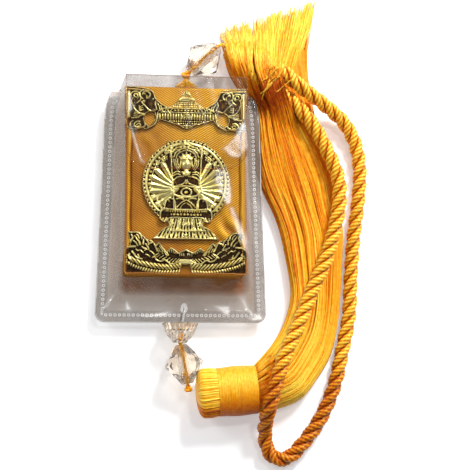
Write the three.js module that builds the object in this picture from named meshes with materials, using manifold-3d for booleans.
// Car amulet pendant, lying flat as stored: a satin covered box with cast ornaments in a clear pouch,
// a bead and a twisted rope loop above it, two clear beads and a long silk tassel below it.
// Millimetres. +X to the right, +Y to the pendant's top, +Z up from the surface that it lies on.
// The origin is the outer face of the pouch's back film, under the middle of the box.
import * as THREE from 'three';
import { mergeVertices } from 'three/addons/utils/BufferGeometryUtils.js';
import Module from 'manifold-3d';

const wasm = await Module();
wasm.setup();

// Clearances
const glueLine = 0.1; // between flat layers that are glued or pressed together
const looseFit = 0.3; // round a piece that is wrapped, threaded or only lies there
const overrun = 1; // how far a cutting body runs past the wall that it cuts

// Satin box
const boxWidth = 45;
const boxLength = 72;
const boxCorner = 2.5;
const satinThickness = 0.4;
const boardThickness = 1.2;
const spacerHeight = 4.4;
const spacerWall = 4;
const paperHeight = 2.4;
const paperMargin = 2;
const padRise = 1.3;
const padEdge = 1.1;

// Cast ornaments
const plateThickness = 0.9;
const reliefHeight = 1;
const crestHeight = 0.7;
const rearPlateThickness = 0.8;
const rearReliefHeight = 0.5;
const ornamentOverhang = 0.5;
const topOrnamentLength = 17;
const bottomOrnamentLength = 16.5;
const ornamentInset = 0.4;
const cornerWidth = 11.5;
const beamLength = 3;
const finialLength = 9.5;
const medallionTopGap = 3; // below the top casting
const pedestalGap = 2.75; // above the bottom casting's crests
const pedestalDropShare = 0.72; // of the medallion's radius, from its middle down to the pedestal
const crestShare = 0.63; // of the bottom casting's length, up to its crests beside the pedestal
const medallionBeads = 44;
const beadGrain = 0.75;
const pedestalWidth = 25;
const pedestalLength = 9.5;
const armRodRadius = 0.5;
const pairsOfArms = 6;

// Clear pouch
const filmThickness = 0.3;
const weldWidth = 4.6;
const tentTop = 6.3; // film beside the castings at the mouth, weld and all
const tentBottom = 9.3;
const pouchShift = -1.1; // the box lies this far right of the pouch's middle
const pouchTail = 17; // below the box
const pouchCorner = 3.6;
const seamHeight = 4.6;
const mouthDrop = 1.2; // the front film starts this far below the box's top
const tongueLength = 35.6;
const tongueCorner = 9;
const foldSetback = 3.3; // from the box's top to the fold
const tailHoleWidth = 2.6;
const tailHoleLength = 3.8;
const tailHoleFromEdge = 5.4;

// Strings, knots and clear beads
const stringDiameter = 1.6;
const loopThreadDiameter = 0.9;
const knotDiameter = 3.6;
const lowerKnotDiameter = 3;
const tieDiameter = 6.4; // its height
const tieLength = 8.2;
const tieWidth = 9;
const tieAngle = -28; // degrees, from +X
const tieEntryAngle = 139; // where the string meets the tie
const fanWidth = 8.4;
const beadDiameter = 14;
const beadLength = 14.6;
const beadEndDiameter = 4.4;
const beadBore = 3.2;
const beadFacets = 10;
const upperBeadAngle = 44; // degrees, from +X
const lowerBeadAngle = -80;
const bellDiameter = 13.4;
const bellLength = 7.2;
const bellNeckDiameter = 5.2;
const bellCupDepth = 3.4;
const bellWall = 1;
const bellFlutes = 8;
const bellShift = -1.6;
const headBelowKnotShare = 0.11;

// Tassel
const tasselTilt = 4.3; // degrees
const headWidth = 18.6;
const headHeight = 14;
const capLength = 8.2;
const collarLength = 14;
const windingTurns = 11;
const windingThread = 0.72;
const windingSteps = 24;
const skirtWidth = 31.5;
const skirtFromPouch = 0.8;
const skirtToRope = 0.6;
const tipsLength = 34; // the spread tips above the pouch

// Rope
const ropeDiameter = 5.7;
const ropeSides = 10;
const ropeSteps = 78;
const ropeOuterRun = [8, 17]; // the route's points beside the skirt

// Heights of the stacked layers
const rearPlateBottom = filmThickness + looseFit;
const rearPlateTop = rearPlateBottom + rearPlateThickness + rearReliefHeight;
const satinBackBottom = rearPlateTop + glueLine;
const satinBackTop = satinBackBottom + satinThickness;
const backBoardBottom = satinBackTop + glueLine;
const backBoardTop = backBoardBottom + boardThickness;
const spacerBottom = backBoardTop + glueLine;
const spacerTop = spacerBottom + spacerHeight;
const frontBoardBottom = spacerTop + glueLine;
const frontBoardTop = frontBoardBottom + boardThickness;
const padBottom = frontBoardTop + glueLine;
const padTop = padBottom + padRise;
const plateBottom = padTop + glueLine;
const reliefBottom = plateBottom + plateThickness;
const reliefTop = reliefBottom + reliefHeight;
const crestTop = reliefTop + crestHeight;
const frontFilmBottom = crestTop + looseFit;
const frontFilmTop = frontFilmBottom + filmThickness;
const tongueBottom = frontFilmTop + looseFit;
const stringHeight = Math.max(beadDiameter, bellDiameter) / 2 + looseFit;

// Widths and places along the length
const castWidth = boxWidth + 2 * ornamentOverhang;
const tongueWidth = castWidth;
const pouchTopWidth = castWidth + 2 * tentTop;
const pouchBottomWidth = castWidth + 2 * tentBottom;
const boxTop = boxLength / 2;
const boxBottom = -boxLength / 2;
const foldY = boxTop + foldSetback;
const pouchBottom = boxBottom - pouchTail;
const pouchMouth = boxTop - mouthDrop;

// The medallion fills the room between the two castings.
const topCastingFoot = boxTop - ornamentInset - topOrnamentLength;
const crestLevel = boxBottom + ornamentInset + bottomOrnamentLength * crestShare;
const medallionRoom = topCastingFoot - medallionTopGap - pedestalGap - crestLevel;
const medallionRadius = (medallionRoom - pedestalLength) / (1 + pedestalDropShare);
const medallionY = topCastingFoot - medallionTopGap - medallionRadius;

const tau = 2 * Math.PI;
const radians = (degrees) => (degrees * Math.PI) / 180;

// Geometry helpers
function closedSolid(geometry) {
  const plain = geometry.clone();
  plain.deleteAttribute('normal');
  plain.deleteAttribute('uv');
  const merged = mergeVertices(plain);
  return new wasm.Manifold(new wasm.Mesh({
    numProp: 3,
    vertProperties: new Float32Array(merged.attributes.position.array),
    triVerts: new Uint32Array(merged.index.array),
  }));
}

function geometryOf(solid) {
  const mesh = solid.getMesh();
  const geometry = new THREE.BufferGeometry();
  geometry.setAttribute('position', new THREE.BufferAttribute(mesh.vertProperties, 3));
  geometry.setIndex(new THREE.BufferAttribute(mesh.triVerts, 1));
  geometry.computeVertexNormals();
  return geometry;
}

function joined(geometries) {
  return geometryOf(geometries.map(closedSolid).reduce((all, next) => all.add(next)));
}

function cut(geometry, tools) {
  const solid = closedSolid(geometry);
  return geometryOf(tools.map(closedSolid).reduce((left, tool) => left.subtract(tool), solid));
}

function material(color, roughness, metalness, opacity = 1) {
  return new THREE.MeshStandardMaterial({
    color, roughness, metalness, opacity, transparent: opacity < 1,
  });
}

const satin = material(0xd9a53a, 0.45, 0);
const board = material(0x9a9488, 0.9, 0);
const paper = material(0xe6dcc0, 0.9, 0);
const wadding = material(0xe9e6de, 1, 0);
const gold = material(0xd8c58c, 0.35, 0.9);
const film = material(0xb9c2c6, 0.12, 0, 0.3);
const acrylic = material(0xdfe4ea, 0.08, 0, 0.4);
const silk = material(0xe0931a, 0.5, 0);
const ropeSilk = material(0xd9861a, 0.55, 0);
const nylon = material(0xe4e4de, 0.2, 0, 0.6);

function piece(name, geometry, finish, parent) {
  const mesh = new THREE.Mesh(geometry, finish.clone());
  mesh.name = name;
  parent.add(mesh);
  return mesh;
}

// A rectangle with round corners, about its own middle.
function roundedRect(width, length, radius) {
  const x = width / 2;
  const y = length / 2;
  const shape = new THREE.Shape();
  shape.moveTo(x - radius, -y);
  shape.absarc(x - radius, radius - y, radius, -Math.PI / 2, 0);
  shape.absarc(x - radius, y - radius, radius, 0, Math.PI / 2);
  shape.absarc(radius - x, y - radius, radius, Math.PI / 2, Math.PI);
  shape.absarc(radius - x, radius - y, radius, Math.PI, 1.5 * Math.PI);
  return shape;
}

// Turns a closed body whose faces point inward the right way out.
function outward(geometry) {
  const places = geometry.attributes.position;
  const index = geometry.index.array;
  const corner = (i) => new THREE.Vector3().fromBufferAttribute(places, index[i]);
  let volume = 0;
  for (let i = 0; i < index.length; i += 3) {
    volume += corner(i).dot(corner(i + 1).cross(corner(i + 2)));
  }
  if (volume < 0) {
    for (let i = 0; i < index.length; i += 3) [index[i], index[i + 1]] = [index[i + 1], index[i]];
  }
  return geometry;
}

// What lies between two heights of a set of bodies, joined.
function joinedBetween(geometries, low, high) {
  const slab = block([-boxLength, -boxLength, low], [boxLength, boxLength, high]);
  return geometryOf(closedSolid(joined(geometries)).intersect(closedSolid(slab)));
}

// A flat plate of an outline between two heights.
function plate(shape, bottom, top, curveSegments = 5) {
  const geometry = new THREE.ExtrudeGeometry(shape, {
    depth: top - bottom, bevelEnabled: false, curveSegments,
  });
  return geometry.translate(0, 0, bottom);
}

function polygon(points) {
  return new THREE.Shape(points.map(([x, y]) => new THREE.Vector2(x, y)));
}

// A box between two corners.
function block([x0, y0, z0], [x1, y1, z1]) {
  const geometry = new THREE.BoxGeometry(x1 - x0, y1 - y0, z1 - z0);
  return geometry.translate((x0 + x1) / 2, (y0 + y1) / 2, (z0 + z1) / 2);
}

function ball(radius, [x, y, z], [sx, sy, sz] = [1, 1, 1], around = 8, down = 5) {
  return new THREE.SphereGeometry(radius, around, down).scale(sx, sy, sz).translate(x, y, z);
}

// A solid tube along a smooth curve through points.
function tube(points, diameter, sides, steps) {
  const stops = points.map((p) => new THREE.Vector3(...p));
  const curve = new THREE.CatmullRomCurve3(stops, false, 'centripetal');
  const section = polygon(Array.from({ length: sides }, (_, i) => [
    (diameter / 2) * Math.cos((tau * i) / sides), (diameter / 2) * Math.sin((tau * i) / sides),
  ]));
  return new THREE.ExtrudeGeometry(section, { steps, bevelEnabled: false, extrudePath: curve });
}

// A closed body from rings of equal point counts, with a fan at each end.
function loft(rings) {
  const count = rings[0].length;
  const positions = rings.flat(2);
  const index = [];
  for (let r = 0; r + 1 < rings.length; r += 1) {
    for (let i = 0; i < count; i += 1) {
      const a = r * count + i;
      const b = r * count + ((i + 1) % count);
      index.push(a, b, b + count, a, b + count, a + count);
    }
  }
  const last = (rings.length - 1) * count;
  for (let i = 1; i + 1 < count; i += 1) {
    index.push(0, i + 1, i, last, last + i, last + i + 1);
  }
  const geometry = new THREE.BufferGeometry();
  geometry.setAttribute('position', new THREE.Float32BufferAttribute(positions, 3));
  geometry.setIndex(index);
  return outward(geometry);
}

// A thin sheet over a grid of stations: rows of [x, y, z], thickened upward.
function sheet(rows, thickness) {
  const across = rows[0].length;
  const down = rows.length;
  const lower = rows.flat();
  const positions = [...lower.flat(), ...lower.map(([x, y, z]) => [x, y, z + thickness]).flat()];
  const shift = across * down;
  const index = [];
  for (let r = 0; r + 1 < down; r += 1) {
    for (let c = 0; c + 1 < across; c += 1) {
      const a = r * across + c;
      const b = a + 1;
      const d = a + across;
      const e = d + 1;
      index.push(shift + a, shift + b, shift + e, shift + a, shift + e, shift + d);
      index.push(a, e, b, a, d, e);
    }
  }
  const rim = [];
  for (let c = 0; c + 1 < across; c += 1) rim.push(c);
  for (let r = 0; r + 1 < down; r += 1) rim.push(r * across + across - 1);
  for (let c = across - 1; c > 0; c -= 1) rim.push((down - 1) * across + c);
  for (let r = down - 1; r > 0; r -= 1) rim.push(r * across);
  rim.forEach((a, i) => {
    const b = rim[(i + 1) % rim.length];
    index.push(a, b, b + shift, a, b + shift, a + shift);
  });
  const geometry = new THREE.BufferGeometry();
  geometry.setAttribute('position', new THREE.Float32BufferAttribute(positions, 3));
  geometry.setIndex(index);
  return outward(geometry);
}

const pendant = new THREE.Group();

// The box: boards and a spacer wrapped in satin
const box = new THREE.Group();
pendant.add(box);

const wrapSetback = 2 * (satinThickness + looseFit);
const coreWidth = boxWidth - wrapSetback;
const coreLength = boxLength - wrapSetback;
const coreCorner = boxCorner - satinThickness - looseFit;
const cavityWidth = coreWidth - 2 * spacerWall;
const cavityLength = coreLength - 2 * spacerWall;
const boardShape = roundedRect(coreWidth, coreLength, coreCorner);

function buildBoards() {
  piece('back_board', plate(boardShape, backBoardBottom, backBoardTop), board, box);
  piece('front_board', plate(boardShape, frontBoardBottom, frontBoardTop), board, box);
  const ring = roundedRect(coreWidth, coreLength, coreCorner);
  ring.holes.push(roundedRect(cavityWidth, cavityLength, coreCorner));
  piece('spacer_frame', plate(ring, spacerBottom, spacerTop), board, box);
}

function buildFilling() {
  const width = cavityWidth - 2 * paperMargin;
  const length = cavityLength - 2 * paperMargin;
  const paperBottom = backBoardTop + glueLine;
  const paperTop = paperBottom + paperHeight;
  const sheaf = plate(roundedRect(width, length, looseFit), paperBottom, paperTop, 1);
  piece('folded_scripture_paper', sheaf, paper, box);
  const pad = roundedRect(cavityWidth - 2 * looseFit, cavityLength - 2 * looseFit, coreCorner);
  piece('wadding_pad', plate(pad, paperTop + looseFit, frontBoardBottom - looseFit), wadding, box);
}

// The padded front: a rounded rectangle whose edge rolls over in a quarter circle.
function buildSatin() {
  const outer = roundedRect(boxWidth, boxLength, boxCorner);
  piece('satin_back', plate(outer, satinBackBottom, satinBackTop), satin, box);
  const wall = roundedRect(boxWidth, boxLength, boxCorner);
  const round = 2 * looseFit;
  wall.holes.push(roundedRect(coreWidth + round, coreLength + round, coreCorner + looseFit));
  piece('satin_sides', plate(wall, backBoardBottom, frontBoardTop), satin, box);
  const rollSteps = 4;
  const levels = [[0, padBottom]];
  for (let i = 0; i <= rollSteps; i += 1) {
    const turn = (Math.PI / 2) * (i / rollSteps);
    levels.push([padEdge * (1 - Math.cos(turn)), padTop - padEdge * (1 - Math.sin(turn))]);
  }
  const rings = levels.map(([inset, z]) => {
    const shape = roundedRect(boxWidth - 2 * inset, boxLength - 2 * inset, boxCorner - inset);
    return shape.getPoints(4).slice(0, -1).map((p) => [p.x, p.y, z]);
  });
  piece('satin_front_pad', loft(rings), satin, box);
}

// Castings. Outlines are half outlines in shares of a casting's own width and length, mirrored about its
// middle.
function mirrored(half) {
  const other = half.slice().reverse().filter(([x]) => x !== 0);
  return [...half, ...other.map(([x, y]) => [-x, y])];
}

const scaled = (shares, across, along, y) => shares.map(([u, v]) => [u * across, y + v * along]);

// A spiral scroll of round section, lying flat: its radius grows with the angle.
function scroll(centre, radius, turns, start, hand, thickness) {
  const count = 9;
  const points = Array.from({ length: count }, (_, i) => {
    const share = i / (count - 1);
    const angle = start + hand * tau * turns * share;
    const reach = radius * (0.25 + 0.75 * share);
    return [centre[0] + reach * Math.cos(angle), centre[1] + reach * Math.sin(angle), centre[2]];
  });
  return tube(points, thickness, 5, count + 3);
}

function bothSides(make) {
  [1, -1].forEach(make);
}

const topHalfShares = [
  [0, 0.46], [0.05, 0.3], [0.14, 0.18], [0.13, 0.04], [0.24, 0], [0.26, 0.3], [0.32, 0.48], [0.42, 0.5],
  [0.5, 0.44], [0.49, 0], [0.47, -0.3], [0.4, -0.45], [0.33, -0.36], [0.27, -0.2], [0.25, -0.34],
  [0.12, -0.34], [0.06, -0.4], [0, -0.5],
];
const bottomHalfShares = [
  [0, 0], [0.06, -0.02], [0.1, 0.02], [0.14, -0.06], [0.19, 0.08], [0.23, 0.13], [0.27, 0.04], [0.33, 0.12],
  [0.38, 0.34], [0.43, 0.48], [0.48, 0.44], [0.5, 0.2], [0.49, -0.1], [0.5, -0.42], [0.44, -0.5],
  [0.25, -0.45], [0.1, -0.48], [0.06, -0.33], [0, -0.33],
];

function topCasting(bottom, base, relief, facing) {
  const y = boxTop - ornamentInset - topOrnamentLength / 2;
  const outline = scaled(mirrored(topHalfShares), castWidth, topOrnamentLength, y);
  const middle = bottom + base;
  const low = facing > 0 ? bottom : bottom + relief;
  const raise = (from, to) => (facing > 0 ? [middle + from, middle + to] : [low - to, low - from]);
  const [beamLow, beamHigh] = raise(-base / 2, relief);
  const bodies = [plate(polygon(outline), low, low + base)];
  const beamY = y - topOrnamentLength * 0.12;
  const beamX = castWidth * 0.27;
  const [beamFoot, beamHead] = [beamY - beamLength / 2, beamY + beamLength / 2];
  bodies.push(block([-beamX, beamFoot, beamLow], [beamX, beamHead, beamHigh]));
  const roofShares = mirrored([[0, 1], [0.1, 0.6], [0.34, 0.45], [0.3, 0.22], [0.5, 0.1], [0.5, 0]]);
  const roof = scaled(roofShares, cornerWidth, finialLength, beamHead);
  bodies.push(plate(polygon(roof), beamLow, beamHigh));
  bothSides((side) => {
    const scrollZ = facing > 0 ? middle : low;
    const reach = cornerWidth * 0.2;
    const x = side * (castWidth / 2 - cornerWidth / 2);
    const upper = [x, y + topOrnamentLength * 0.3, scrollZ];
    const lower = [x + side * reach, y - topOrnamentLength * 0.22, scrollZ];
    bodies.push(scroll(upper, reach, 1.2, 0, side, relief * 1.1));
    bodies.push(scroll(lower, reach, 1.2, Math.PI, side, relief * 1.1));
  });
  return joinedBetween(bodies, bottom, bottom + base + relief);
}

function bottomCasting(bottom, base, relief, facing) {
  const y = boxBottom + ornamentInset + bottomOrnamentLength / 2;
  const outline = scaled(mirrored(bottomHalfShares), castWidth, bottomOrnamentLength, y);
  const low = facing > 0 ? bottom : bottom + relief;
  const face = facing > 0 ? bottom + base : low;
  const bodies = [plate(polygon(outline), low, low + base)];
  const long = bottomOrnamentLength;
  bothSides((side) => {
    // the serpent's back: along the lower edge, up at the outer end and over to its crest
    const backShares = [
      [0.1, -0.26], [0.22, -0.32], [0.36, -0.34], [0.45, -0.22], [0.43, 0], [0.34, -0.04], [0.24, 0.06],
    ];
    const route = backShares.map(([u, v]) => [side * u * castWidth, y + v * long, face]);
    bodies.push(tube(route, 2 * relief, 6, 12));
    const curl = [side * castWidth * 0.43, y + long * 0.24, face];
    bodies.push(scroll(curl, long * 0.11, 1.1, 0, side, relief * 1.2));
  });
  const peakShares = mirrored([[0, 0.32], [0.18, 0.12], [0.34, 0.24], [0.5, 0], [0.3, -0.1]]);
  const wave = polygon(scaled(peakShares, cornerWidth, long, y - long * 0.12));
  bodies.push(plate(wave, low, facing > 0 ? face + relief : low + base));
  return joinedBetween(bodies, bottom, bottom + base + relief);
}

// The medallion: a beaded halo disc, a many armed seated figure under an arch, a lotus seat and a pedestal.
function medallionBodies() {
  const centreY = medallionY;
  const radius = medallionRadius;
  const rim = radius - beadGrain;
  const lowRelief = reliefBottom + reliefHeight * 0.35;
  const bodies = [];
  const disc = new THREE.CylinderGeometry(radius, radius, plateThickness, 48).rotateX(Math.PI / 2);
  bodies.push(disc.translate(0, centreY, plateBottom + plateThickness / 2));
  const pedestalShares = [[0, 0.2], [0.3, 0.2], [0.24, -0.2], [0.32, -0.6], [0.44, -0.86], [0.5, -1]];
  const foot = centreY - radius * pedestalDropShare;
  const outline = scaled(mirrored(pedestalShares), pedestalWidth, pedestalLength, foot);
  bodies.push(plate(polygon(outline), plateBottom, reliefBottom + reliefHeight * 0.6));
  for (let i = 0; i < medallionBeads; i += 1) {
    const angle = (tau * (i + 0.5)) / medallionBeads;
    const grain = new THREE.OctahedronGeometry(beadGrain, 0);
    bodies.push(grain.translate(rim * Math.cos(angle), centreY + rim * Math.sin(angle), reliefBottom));
  }
  const innerRing = new THREE.TorusGeometry(radius * 0.86, armRodRadius * 0.7, 4, 40);
  bodies.push(innerRing.translate(0, centreY, reliefBottom));
  const archShares = mirrored([[0, 0.95], [0.14, 0.78], [0.3, 0.6], [0.36, 0.38], [0.24, 0.2], [0, 0.2]]);
  bodies.push(plate(polygon(scaled(archShares, radius, radius, centreY)), plateBottom, lowRelief));
  bothSides((side) => {
    for (let i = 0; i < pairsOfArms; i += 1) {
      const angle = radians(-28 + (100 * i) / (pairsOfArms - 1));
      const reach = radius * (0.74 - 0.06 * Math.abs(i - 2));
      const bent = angle - radians(14);
      const half = reach * 0.62;
      const hand = [side * reach * Math.cos(angle), centreY + reach * Math.sin(angle) + radius * 0.05];
      const elbow = [side * half * Math.cos(bent), centreY + half * Math.sin(bent)];
      const shoulder = [side * radius * 0.12, centreY + radius * 0.12];
      const z = reliefBottom + armRodRadius * 0.4;
      bodies.push(tube([shoulder, elbow, hand].map(([x, y]) => [x, y, z]), 2 * armRodRadius, 5, 5));
      bodies.push(new THREE.OctahedronGeometry(armRodRadius * 1.7, 0).translate(hand[0], hand[1], z));
    }
    const staffX = side * radius * 0.27;
    const staffFoot = [staffX, centreY - radius * 0.3, reliefTop];
    bodies.push(tube([staffFoot, [staffX, centreY + radius * 0.5, reliefTop]], 2 * armRodRadius, 5, 1));
  });
  const headY = centreY + radius * 0.46;
  bodies.push(ball(radius * 0.13, [0, headY, reliefBottom], [1, 1.15, 1.1]));
  bodies.push(ball(radius * 0.19, [0, centreY + radius * 0.12, reliefBottom], [1, 1.5, 0.55]));
  bodies.push(ball(radius * 0.2, [0, centreY - radius * 0.28, reliefBottom], [2.1, 0.8, 0.5], 10));
  const seatShares = [[0, 0.1], [0.8, 0.12], [1.12, 0], [1.1, -0.36], [0.9, -0.12], [0, -0.16]];
  const seatReach = radius * 0.66;
  const seatOutline = scaled(mirrored(seatShares), seatReach, seatReach, centreY - radius * 0.56);
  bodies.push(plate(polygon(seatOutline), plateBottom, reliefTop));
  return bodies;
}

function buildOrnaments() {
  piece('front_top_ornament', topCasting(plateBottom, plateThickness, reliefHeight, 1), gold, box);
  piece('medallion', joinedBetween(medallionBodies(), plateBottom, crestTop), gold, box);
  piece('front_bottom_ornament', bottomCasting(plateBottom, plateThickness, reliefHeight, 1), gold, box);
  const rear = [rearPlateBottom, rearPlateThickness, rearReliefHeight, -1];
  piece('rear_top_ornament', topCasting(...rear), gold, box);
  piece('rear_bottom_ornament', bottomCasting(...rear), gold, box);
}

// The pouch: two films welded in one plane round three sides, tented over the box
const pouch = new THREE.Group();
pendant.add(pouch);

const filmSide = castWidth / 2 + looseFit;
const weldGap = glueLine;
const backWeldBottom = seamHeight - filmThickness - weldGap;

// Half the pouch's width at a height along it: it narrows towards the mouth, where the box tents it more.
function pouchHalf(y) {
  const share = (y - pouchBottom) / (pouchMouth - pouchBottom);
  return (pouchBottomWidth + (pouchTopWidth - pouchBottomWidth) * share) / 2;
}

// One film. Each row gives how far the tent reaches there, from 0 at a weld to 1 over the box.
function filmSheet(level, weldLevel, rows) {
  return sheet(rows.map(([y, rise]) => {
    const half = pouchHalf(Math.min(y, pouchMouth));
    const over = weldLevel + (level - weldLevel) * rise;
    const inner = half - weldWidth;
    return [
      [pouchShift - half, y, weldLevel], [pouchShift - inner, y, weldLevel], [-filmSide, y, over],
      [0, y, over], [filmSide, y, over], [pouchShift + inner, y, weldLevel], [pouchShift + half, y, weldLevel],
    ];
  }), filmThickness);
}

// What rounds the pouch's two lower corners: a square less a quarter disc.
function cornerTrim(side) {
  const half = pouchHalf(pouchBottom);
  const x = pouchShift + side * half;
  const inner = x - side * pouchCorner;
  const shape = new THREE.Shape();
  const end = side > 0 ? 0 : -Math.PI;
  shape.absarc(inner, pouchBottom + pouchCorner, pouchCorner, -Math.PI / 2, end, side < 0);
  shape.lineTo(x + side * overrun, pouchBottom + pouchCorner);
  shape.lineTo(x + side * overrun, pouchBottom - overrun);
  shape.lineTo(inner, pouchBottom - overrun);
  return plate(shape, 0, seamHeight + filmThickness + overrun);
}

function tailHole() {
  const y = pouchBottom + tailHoleFromEdge;
  const shape = new THREE.Shape();
  shape.absellipse(0, y, tailHoleWidth / 2, tailHoleLength / 2, 0, tau, false, 0);
  return plate(shape, 0, seamHeight + filmThickness + overrun, 6);
}

function buildPouch() {
  const trims = [cornerTrim(1), cornerTrim(-1), tailHole()];
  const weldTop = pouchBottom + weldWidth + tailHoleFromEdge;
  const footY = boxBottom - looseFit;
  const frontRows = [[pouchBottom, 0], [weldTop, 0], [footY, 1], [pouchMouth, 1]];
  piece('pouch_front_film', cut(filmSheet(frontFilmBottom, seamHeight, frontRows), trims), film, pouch);

  const riserFoot = boxTop + looseFit;
  const backRows = [[pouchBottom, 0], [weldTop, 0], [footY, 1], [pouchMouth, 1]];
  const backSheet = filmSheet(0, backWeldBottom, backRows);
  const riserTop = tongueBottom - looseFit;
  const profile = polygon([
    [pouchMouth - overrun, 0], [riserFoot + filmThickness, 0], [foldY, riserTop],
    [foldY - filmThickness, riserTop], [riserFoot, filmThickness], [pouchMouth - overrun, filmThickness],
  ]);
  const riser = new THREE.ExtrudeGeometry(profile, { depth: tongueWidth, bevelEnabled: false });
  riser.applyMatrix4(new THREE.Matrix4().set(0, 0, 1, -tongueWidth / 2, 1, 0, 0, 0, 0, 1, 0, 0, 0, 0, 0, 1));
  const threadWay = new THREE.CylinderGeometry(stringDiameter, stringDiameter, 2 * foldSetback, 12);
  threadWay.translate(0, foldY, stringHeight);
  piece('pouch_back_film', cut(joined([backSheet, riser]), [...trims, threadWay]), film, pouch);
}

function buildTongue() {
  const x = tongueWidth / 2;
  const end = foldY - tongueLength;
  const shape = new THREE.Shape();
  shape.moveTo(x, foldY);
  shape.lineTo(-x, foldY);
  shape.lineTo(-x, end + tongueCorner);
  shape.absarc(tongueCorner - x, end + tongueCorner, tongueCorner, Math.PI, 1.5 * Math.PI);
  shape.absarc(x - tongueCorner, end + tongueCorner, tongueCorner, 1.5 * Math.PI, tau);
  piece('pouch_tongue_flap', plate(shape, tongueBottom, tongueBottom + filmThickness), film, pouch);
}

// Strings and beads. Each bead's own axis is its local +Y.
const strings = new THREE.Group();
pendant.add(strings);

// A clear bicone bead with flat facets and a bore.
function biconeBead() {
  const profile = [
    [beadBore / 2, -beadLength / 2], [beadEndDiameter / 2, -beadLength / 2], [beadDiameter / 2, 0],
    [beadEndDiameter / 2, beadLength / 2], [beadBore / 2, beadLength / 2], [beadBore / 2, -beadLength / 2],
  ];
  return new THREE.LatheGeometry(profile.map(([x, y]) => new THREE.Vector2(x, y)), beadFacets);
}

// A flower bell: a cup with rounded flutes at its rim, open to +Y, and a neck with a bore.
function bellBead() {
  const neckY = -bellLength / 2;
  const rimY = bellLength / 2;
  const cupY = rimY - bellCupDepth;
  const bore = beadBore / 2;
  const rim = bellDiameter / 2;
  const neck = bellNeckDiameter / 2;
  const profile = [
    [bore, neckY], [neck, neckY], [neck + (rim - neck) * 0.5, neckY + bellLength * 0.34],
    [neck + (rim - neck) * 0.85, neckY + bellLength * 0.7], [rim, rimY], [rim - bellWall, rimY],
    [rim - 1.8 * bellWall, cupY + bellCupDepth * 0.4], [bore + bellWall, cupY], [bore, cupY], [bore, neckY],
  ];
  const steps = 4 * bellFlutes;
  const geometry = new THREE.LatheGeometry(profile.map(([x, y]) => new THREE.Vector2(x, y)), steps);
  const places = geometry.attributes.position;
  for (let i = 0; i < places.count; i += 1) {
    const x = places.getX(i);
    const z = places.getZ(i);
    const open = Math.max(0, (Math.hypot(x, z) - neck) / (rim - neck));
    const flute = 1 - 0.09 * open * (0.5 - 0.5 * Math.cos(bellFlutes * Math.atan2(z, x)));
    places.setXYZ(i, x * flute, places.getY(i), z * flute);
  }
  return geometry;
}

const upperTurn = radians(upperBeadAngle);
const upperAlong = [Math.cos(upperTurn), Math.sin(upperTurn)];
const knotPlace = [0, foldY + looseFit + knotDiameter / 2];
const beadFromKnot = knotDiameter / 2 + looseFit + beadLength / 2;
const upperBeadPlace = knotPlace.map((value, i) => value + upperAlong[i] * beadFromKnot);
const upperBeadEnd = upperBeadPlace.map((value, i) => value + upperAlong[i] * (beadLength / 2));
const tiePlace = [upperBeadEnd[0] + tieLength * 0.8, upperBeadEnd[1] - tieWidth * 0.29];

// The thread fan runs from the box's top edge through the riser's hole to the knot.
function buildUpperString() {
  const half = stringDiameter / 2;
  const start = boxTop + looseFit;
  const gathered = start + (foldSetback - looseFit) * 0.4;
  const narrow = knotPlace[1] - knotDiameter / 2 - looseFit;
  const wedge = polygon([
    [-fanWidth / 2, start], [fanWidth / 2, start], [half, gathered], [half, narrow], [-half, narrow],
    [-half, gathered],
  ]);
  piece('thread_fan', plate(wedge, stringHeight - half, stringHeight + half), silk, strings);
  const knot = ball(knotDiameter / 2, [0, 0, 0], [1, 1, 1], 10, 7);
  piece('upper_knot', knot, silk, strings).position.set(knotPlace[0], knotPlace[1], stringHeight);

  const clear = knotDiameter / 2 + looseFit;
  const reach = stringDiameter * 0.8;
  const tieEdge = tieLength / 2 + looseFit;
  const entry = radians(tieEntryAngle);
  const route = [
    knotPlace.map((value, i) => value + upperAlong[i] * clear), upperBeadEnd,
    upperBeadEnd.map((value, i) => value + upperAlong[i] * reach),
    [tiePlace[0] + tieEdge * Math.cos(entry), tiePlace[1] + tieEdge * Math.sin(entry)],
  ];
  piece('upper_string', tube(route.map((p) => [...p, stringHeight]), stringDiameter, 8, 10), silk, strings);

  const bead = piece('upper_bead', biconeBead(), acrylic, strings);
  bead.position.set(upperBeadPlace[0], upperBeadPlace[1], stringHeight);
  bead.rotation.z = upperTurn - Math.PI / 2;

  // the whipping that joins the rope's two ends to the string
  const tie = new THREE.SphereGeometry(tieDiameter / 2, 12, 8);
  tie.scale(tieLength / tieDiameter, tieWidth / tieDiameter, 1);
  const whipping = piece('rope_tie_knot', tie, silk, strings);
  whipping.position.set(tiePlace[0], tiePlace[1], stringHeight - looseFit);
  whipping.rotation.z = radians(tieAngle);
}

// The lower string hangs on a thread loop through the hole in the pouch's tail.
const lowerTurn = radians(lowerBeadAngle);
const lowerAlong = [Math.cos(lowerTurn), Math.sin(lowerTurn)];
const bellPlace = [bellShift, pouchBottom - looseFit - bellLength / 2];
const bellNeck = [bellPlace[0], bellPlace[1] - bellLength / 2];
const beadTopPlace = [bellNeck[0] + looseFit, bellNeck[1] - looseFit - beadEndDiameter * 0.1];
const lowerBeadPlace = beadTopPlace.map((value, i) => value + lowerAlong[i] * (beadLength / 2));
const lowerBeadEnd = beadTopPlace.map((value, i) => value + lowerAlong[i] * beadLength);
const lowerKnotPlace = lowerBeadEnd.map((value, i) => value + lowerAlong[i] * (looseFit + lowerKnotDiameter / 2));

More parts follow.
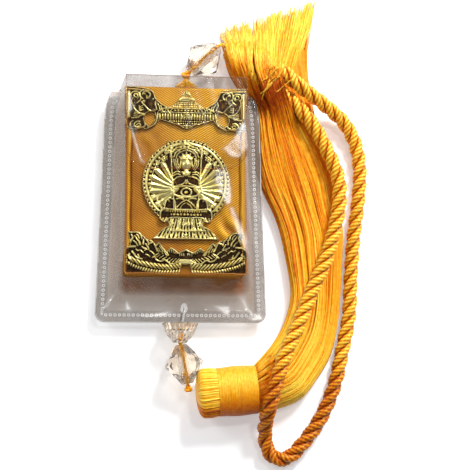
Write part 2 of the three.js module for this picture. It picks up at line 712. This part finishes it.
function buildLowerString() {
  const throat = bellPlace[1] + bellLength / 2 - bellCupDepth + looseFit;
  const knotEdge = lowerKnotDiameter / 2 + looseFit;
  const stringEnd = lowerKnotPlace.map((value, i) => value - lowerAlong[i] * knotEdge);
  const route = [
    [bellPlace[0], throat, stringHeight], [bellNeck[0], bellNeck[1], stringHeight],
    [lowerBeadPlace[0], lowerBeadPlace[1], stringHeight], [...stringEnd, stringHeight],
  ];
  piece('lower_string', tube(route, stringDiameter, 8, 8), silk, strings);

  const bell = piece('bell_bead', bellBead(), acrylic, strings);
  bell.position.set(bellPlace[0], bellPlace[1], stringHeight);
  const bead = piece('lower_bead', biconeBead(), acrylic, strings);
  bead.position.set(lowerBeadPlace[0], lowerBeadPlace[1], stringHeight);
  bead.rotation.z = lowerTurn + Math.PI / 2;

  const knot = ball(lowerKnotDiameter / 2, [0, 0, 0], [1, 1, 1], 10, 7);
  piece('lower_knot', knot, silk, strings).position.set(lowerKnotPlace[0], lowerKnotPlace[1], stringHeight);

  // the loop runs over the weld, down through the hole and back under the weld
  const holeY = pouchBottom + tailHoleFromEdge;
  const turn = loopThreadDiameter + looseFit;
  const top = seamHeight + filmThickness + turn;
  const low = backWeldBottom - turn;
  const tied = throat + stringDiameter * 0.6;
  const apart = loopThreadDiameter * 0.8;
  const loop = [
    [bellPlace[0] * 0.8, tied, stringHeight + apart], [bellPlace[0] * 0.5, pouchBottom, top + apart],
    [0, holeY - turn, top], [0, holeY, (top + low) / 2], [0, holeY - turn, low],
    [bellPlace[0] * 0.5, pouchBottom, low], [bellPlace[0] * 0.8, tied, stringHeight - apart],
  ];
  piece('pouch_hole_loop', tube(loop, loopThreadDiameter, 6, 20), nylon, strings);
}

// The tassel: a cap of folded threads and a wound collar over a core, in a group turned a little from +X.
const headStart = [
  lowerKnotPlace[0] + lowerKnotDiameter / 2 + 4 * looseFit, lowerKnotPlace[1] - headWidth * headBelowKnotShare,
];
const headZ = headHeight / 2 + looseFit;
const tassel = new THREE.Group();
tassel.position.set(headStart[0], headStart[1], headZ);
tassel.rotation.z = radians(tasselTilt);
pendant.add(tassel);

const flatness = headHeight / headWidth;

// A body of revolution about the head's own axis, pressed flat to the head's height.
function headSolid(profile, around = 20) {
  const points = profile.map(([along, radius]) => new THREE.Vector2(radius, along));
  return new THREE.LatheGeometry(points, around).rotateZ(-Math.PI / 2).scale(1, 1, flatness);
}

function buildTasselHead() {
  const radius = headWidth / 2;
  const dome = [
    [0, 0], [0, radius * 0.45], [capLength * 0.1, radius * 0.68], [capLength * 0.28, radius * 0.88],
    [capLength * 0.55, radius], [capLength, radius * 0.98], [capLength, 0],
  ];
  piece('tassel_cap', headSolid(dome), silk, tassel);

  const coreRadius = radius - windingThread - looseFit * 1.5;
  const coreStart = capLength + looseFit;
  const coreEnd = coreStart + collarLength;
  const core = [[coreStart, 0], [coreStart, coreRadius], [coreEnd, coreRadius], [coreEnd, 0]];
  piece('tassel_core', headSolid(core), silk, tassel);
  buildWinding(coreStart, coreEnd, radius - windingThread / 2);
}

// The collar's winding: one unbroken helix, pressed flat like the head, with a straight end at each side.
function buildWinding(start, end, radius) {
  const spare = windingThread / 2 + looseFit * 0.5;
  const first = start + spare;
  const pitch = (end - start - 2 * spare) / windingTurns;
  const steps = windingTurns * windingSteps;
  const sides = 6;
  const place = (step) => {
    const angle = (tau * step) / windingSteps;
    return [first + (pitch * step) / windingSteps, radius * Math.cos(angle), radius * flatness * Math.sin(angle)];
  };
  const middle = Array.from({ length: steps + 1 }, (_, i) => place(i));
  const tangent = (i) => {
    const a = middle[Math.max(0, i - 1)];
    const b = middle[Math.min(steps, i + 1)];
    return new THREE.Vector3(b[0] - a[0], b[1] - a[1], b[2] - a[2]).normalize();
  };
  const straight = (i, sign) => {
    const t = tangent(i).multiplyScalar(sign * windingThread);
    return [middle[i][0] + t.x, middle[i][1] + t.y, middle[i][2] + t.z];
  };
  const centres = [straight(0, -1), ...middle, straight(steps, 1)];
  const rings = centres.map((centre, i) => {
    const t = tangent(Math.min(Math.max(i - 1, 0), steps));
    const side = new THREE.Vector3(1, 0, 0).addScaledVector(t, -t.x).normalize();
    const out = new THREE.Vector3().crossVectors(t, side);
    return Array.from({ length: sides }, (_, k) => {
      const angle = (tau * k) / sides;
      const a = Math.cos(angle) * (windingThread / 2);
      const b = Math.sin(angle) * (windingThread / 2);
      return [side.x * a + out.x * b, side.y * a + out.y * b, side.z * a + out.z * b]
        .map((value, n) => centre[n] + value);
    });
  });
  console.log(`winding: least gap between turns ${(pitch - windingThread).toFixed(2)} mm`);
  piece('tassel_collar_winding', loft(rings), silk, tassel);
}

// The skirt: a flattened bundle whose stations give its left and right margins and its height.
const skirtStart = capLength + collarLength + 2 * looseFit;
const headTurn = radians(tasselTilt);

// A point of the tassel's own frame in the pendant's frame.
function fromHead(along, across) {
  return [
    headStart[0] + along * Math.cos(headTurn) - across * Math.sin(headTurn),
    headStart[1] + along * Math.sin(headTurn) + across * Math.cos(headTurn),
  ];
}

// Stations beside the bend: [across, up] of each margin. Across runs from the head's end (0) to the skirt's
// outer side beside the pouch (1), up from the head's level (0) to the box's middle (1).
const bendShares = [
  { left: [0.09, 0.17], right: [0.2, -0.1], height: 0.71 },
  { left: [0.2, 0.23], right: [0.5, -0.05], height: 0.67 },
  { left: [0.3, 0.31], right: [0.69, 0.05], height: 0.6 },
  { left: [0.36, 0.39], right: [0.84, 0.16], height: 0.53 },
  { left: [0.39, 0.47], right: [0.93, 0.33], height: 0.47 },
  { left: [0.375, 0.54], right: [0.97, 0.5], height: 0.44 },
  { left: [0.33, 0.65], right: [0.99, 0.65], height: 0.41 },
  { left: [0.28, 0.75], right: [1, 0.78], height: 0.38 },
  { left: [0.19, 0.86], right: [0.96, 0.91], height: 0.36 },
];
// Stations beside and above the pouch: along runs from the box's middle (0) to the pouch's fold (1); left is
// a share of the skirt's width away from the pouch's edge, right the same for the outer margin.
const besideShares = [
  { along: [-0.06, 0.05], left: 0.02, right: 0.93, height: 0.37 },
  { along: [0.2, 0.23], left: 0.01, right: 0.87, height: 0.38 },
  { along: [0.5, 0.46], left: 0.01, right: 0.78, height: 0.4 },
  { along: [0.79, 0.74], left: 0.01, right: 0.68, height: 0.4 },
  { along: [0.98, 0.97], left: -0.08, right: 0.63, height: 0.38 },
];
// Stations of the spread tips: up is a share of the tips' length above the fold, left and right shares of the
// skirt's width from the pouch's edge.
const tipShares = [
  { up: [0.2, 0.22], left: -0.17, right: 0.6, height: 0.36 },
  { up: [0.42, 0.46], left: -0.14, right: 0.6, height: 0.34 },
  { up: [0.62, 0.68], left: -0.29, right: 0.63, height: 0.3 },
  { up: [0.84, 0.97], left: -0.13, right: 0.67, height: 0.22 },
];
const sectionShares = [
  [-0.94, 0], [0.94, 0], [1, 0.22], [0.96, 0.55], [0.84, 0.82], [0.5, 0.97], [0, 1],
  [-0.5, 0.97], [-0.84, 0.82], [-0.96, 0.55], [-1, 0.22],
];

// Holds a place of the right margin inside the rope's outer run, which lies on the ground beside the skirt.
function insideRope([x, y]) {
  const run = ropeRoute.slice(ropeOuterRun[0], ropeOuterRun[1]);
  const next = run.findIndex(([, runY]) => runY < y);
  if (next < 1) return [x, y];
  const [[fromX, fromY], [toX, toY]] = [run[next - 1], run[next]];
  const middle = fromX + ((toX - fromX) * (fromY - y)) / (fromY - toY);
  return [Math.min(x, middle - ropeDiameter / 2 - skirtToRope), y];
}

function skirtStations() {
  const [startX, startY] = fromHead(skirtStart, 0);
  const half = headWidth * 0.48;
  const pouchEdge = (y) => pouchShift + pouchHalf(Math.min(y, pouchMouth)) + skirtFromPouch;
  const outer = pouchEdge(0) + skirtWidth - startX;
  const first = {
    left: fromHead(skirtStart, half), right: fromHead(skirtStart, -half), height: headHeight * 0.83,
  };
  const bend = bendShares.map(({ left, right, height }) => ({
    left: [startX + left[0] * outer, startY * (1 - left[1])],
    right: insideRope([startX + right[0] * outer, startY * (1 - right[1])]),
    height: headHeight * height,
  }));
  const beside = besideShares.map(({ along, left, right, height }) => {
    const [leftY, rightY] = along.map((share) => share * foldY);
    return {
      left: [pouchEdge(leftY) + left * skirtWidth, leftY],
      right: insideRope([pouchEdge(0) + right * skirtWidth, rightY]),
      height: headHeight * height,
    };
  });
  const tips = tipShares.map(({ up, left, right, height }) => ({
    left: [pouchEdge(foldY) + left * skirtWidth, foldY + up[0] * tipsLength],
    right: [pouchEdge(0) + right * skirtWidth, foldY + up[1] * tipsLength],
    height: headHeight * height,
  }));
  return [first, ...bend, ...beside, ...tips];
}

function buildSkirt() {
  const rings = skirtStations().map(({ left, right, height }) => sectionShares.map(([t, rise]) => {
    const [x, y] = left.map((value, i) => value + (right[i] - value) * ((1 + t) / 2));
    return [x, y, height * rise];
  }));
  piece('tassel_skirt', loft(rings), silk, pendant);
}

// The rope loop's route, chosen by hand: out of the tie, round outside the tassel, back over it to the tie.
const ropeRoute = [
  [24, 51.1, 6.6], [28.8, 48.5, 8.8], [33.4, 45.6, 10.6], [37.8, 42.2, 11.6], [41.6, 38.8, 11.6],
  [48.3, 34.6, 9.6], [55.9, 30.1, 6.4], [62.8, 24.6, 3.6], [66.8, 17.2, 2.9], [68.4, 7, 2.9],
  [67.5, -6, 2.9], [65.6, -20, 2.9], [64.3, -35, 2.9], [63.4, -49.9, 2.9], [60.6, -63.5, 2.9],
  [57.2, -77, 2.9], [51.6, -89.2, 2.9], [43.6, -99.6, 2.9], [39.3, -103.1, 2.9], [35, -103.4, 2.9],
  [31.8, -100.2, 2.9], [30.4, -93.8, 4.6], [30.3, -89, 9], [31.1, -84.2, 12.8], [32.7, -78.2, 13.9],
  [34.3, -72.8, 13.8], [37.5, -64, 13], [41.7, -55, 12], [47.5, -41.7, 10.2], [52.9, -29.8, 9.5],
  [56.9, -17.6, 9.1], [59, -6, 8.9], [58.5, 3, 8.8], [52.5, 16.9, 8.8], [47.8, 24.6, 8.8],
  [42.4, 30.4, 8.8], [38.4, 34.2, 8.8], [34.4, 37.4, 8.8], [26, 42.9, 8.2], [21.1, 45.6, 6.6],
];

function buildRope() {
  const rope = tube(ropeRoute, ropeDiameter, ropeSides, ropeSteps);
  piece('hanging_rope', rope, ropeSilk, pendant);
}

buildBoards();
buildFilling();
buildSatin();
buildOrnaments();
buildPouch();
buildTongue();
buildUpperString();
buildLowerString();
buildTasselHead();
buildSkirt();
buildRope();

export default pendant;
